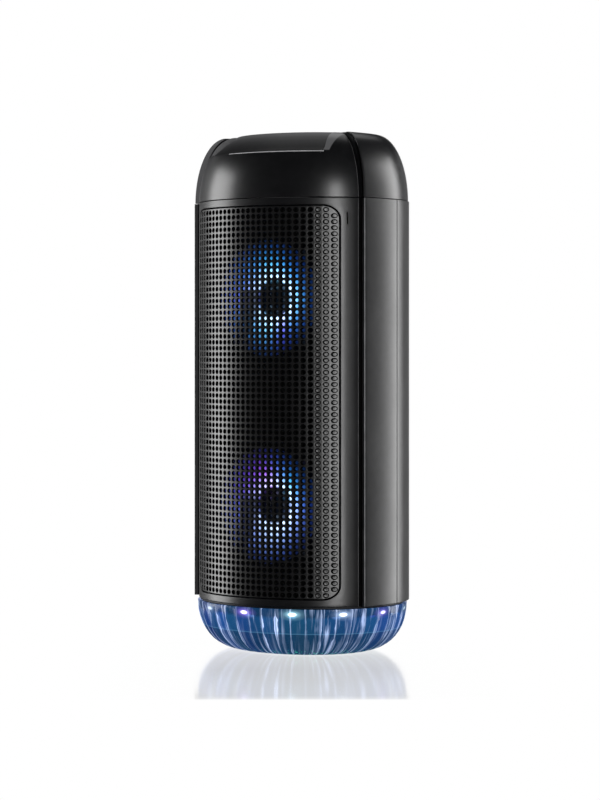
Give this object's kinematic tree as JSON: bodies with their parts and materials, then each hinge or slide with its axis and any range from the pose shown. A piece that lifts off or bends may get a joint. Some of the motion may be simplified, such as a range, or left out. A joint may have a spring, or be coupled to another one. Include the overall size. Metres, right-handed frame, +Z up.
{
  "type": "party speaker",
  "caption": "Tall party speaker with a perforated curved grille over lit drivers, a domed cap with a control dish, and a clear fluted lamp base.",
  "frame": {"origin": "on the ground under the middle of the speaker, at the bottom centre of its box", "axes": "+Z up along the tall axis, the grille faces -Y, +X to the right seen from behind the speaker's front looking along +Y"},
  "size_m": [0.2036, 0.1728, 0.4752],
  "materials": {
    "body_black": "satin black moulded plastic, soft sheen",
    "cover_black": "fine-grained charcoal plastic",
    "grille_black": "satin black moulded grille",
    "trim_black": "gloss black channel liner",
    "panel_gloss": "piano black control panel",
    "button_rubber": "silk rubber buttons",
    "inner_black": "plain black moulded plastic",
    "lamp_clear": "clear fluted plastic, blue tint from its lamp",
    "lamp_plate": "milky light plate",
    "steel": "zinc-plated steel",
    "basket_steel": "black stamped steel",
    "ferrite": "dark ferrite",
    "cone_paper": "black treated paper",
    "surround_rubber": "black rubber roll",
    "spider_cloth": "varnished cloth",
    "coil_copper": "enamelled copper wire",
    "ring_led": "lit ring of coloured lamps",
    "lamp_led": "lit white and violet lamps",
    "board_green": "green circuit board",
    "battery_wrap": "blue shrink wrap",
    "pad_rubber": "soft rubber pads",
    "jack_nickel": "nickel plated"
  },
  "bodies": {
    "cabinet": {"aux_jack": "inner_black", "bass_port": "inner_black", "battery_pack": "battery_wrap", "battery_strap": "inner_black", "bottom_plate": "inner_black", "button_board": "board_green", "cap_screws": "steel", "case_screws": "steel", "centre_shell": "cover_black", "control_panel": "panel_gloss", "dc_jack": "inner_black", "driver_baffle": "inner_black", "driver_screws": "steel", "foot_pads": "pad_rubber", "front_grille": "grille_black", "front_shell": "body_black", "jack_plate": "inner_black", "jack_plate_frame": "cover_black", "lamp_dome": "lamp_clear", "lamp_led_board": "board_green", "lamp_leds": "lamp_led", "lamp_light_plate": "lamp_plate", "lamp_screws": "steel", "left_channel_trim": "trim_black", "lower_basket": "basket_steel", "lower_led_ring": "ring_led", "lower_magnet": "ferrite", "lower_spider": "spider_cloth", "lower_surround": "surround_rubber", "lower_yoke": "steel", "main_board": "board_green", "mic_jack": "jack_nickel", "power_switch_body": "jack_nickel", "rear_cover": "cover_black", "right_channel_trim": "trim_black", "top_cap": "body_black", "upper_basket": "basket_steel", "upper_led_ring": "ring_led", "upper_magnet": "ferrite", "upper_spider": "spider_cloth", "upper_surround": "surround_rubber", "upper_yoke": "steel", "usb_port": "jack_nickel", "volume_potentiometer": "jack_nickel"},
    "button_mode": {"button_mode": "button_rubber"},
    "button_previous": {"button_previous": "button_rubber"},
    "button_play": {"button_play": "button_rubber"},
    "button_next": {"button_next": "button_rubber"},
    "button_light": {"button_light": "button_rubber"},
    "button_power": {"button_power": "button_rubber"},
    "volume_knob": {"volume_knob": "body_black"},
    "power_switch": {"power_switch_slider": "inner_black"},
    "upper_cone": {"upper_cone": "cone_paper", "upper_dust_cap": "cone_paper", "upper_voice_coil": "coil_copper"},
    "lower_cone": {"lower_cone": "cone_paper", "lower_dust_cap": "cone_paper", "lower_voice_coil": "coil_copper"}
  },
  "joints": [
    {"name": "mode_press", "type": "slide", "parent": "cabinet", "child": "button_mode", "axis": [0, 0, -1], "range_m": [0, 0.001], "stiffness_N_per_m": 600},
    {"name": "previous_press", "type": "slide", "parent": "cabinet", "child": "button_previous", "axis": [0, 0, -1], "range_m": [0, 0.001], "stiffness_N_per_m": 600},
    {"name": "play_press", "type": "slide", "parent": "cabinet", "child": "button_play", "axis": [0, 0, -1], "range_m": [0, 0.001], "stiffness_N_per_m": 600},
    {"name": "next_press", "type": "slide", "parent": "cabinet", "child": "button_next", "axis": [0, 0, -1], "range_m": [0, 0.001], "stiffness_N_per_m": 600},
    {"name": "light_press", "type": "slide", "parent": "cabinet", "child": "button_light", "axis": [0, 0, -1], "range_m": [0, 0.001], "stiffness_N_per_m": 600},
    {"name": "power_press", "type": "slide", "parent": "cabinet", "child": "button_power", "axis": [0, 0, -1], "range_m": [0, 0.001], "stiffness_N_per_m": 600},
    {"name": "volume_turn", "type": "hinge", "parent": "cabinet", "child": "volume_knob", "pos_m": [0, 0.01, 0.47], "axis": [0, 0, -1], "range_deg": [0, 300]},
    {"name": "power_slide", "type": "slide", "parent": "cabinet", "child": "power_switch", "axis": [1, 0, 0], "range_m": [0, 0.0046]},
    {"name": "upper_cone_travel", "type": "slide", "parent": "cabinet", "child": "upper_cone", "axis": [0, -1, 0], "range_m": [-0.003, 0.003], "stiffness_N_per_m": 900},
    {"name": "lower_cone_travel", "type": "slide", "parent": "cabinet", "child": "lower_cone", "axis": [0, -1, 0], "range_m": [-0.003, 0.003], "stiffness_N_per_m": 900}
  ]
}
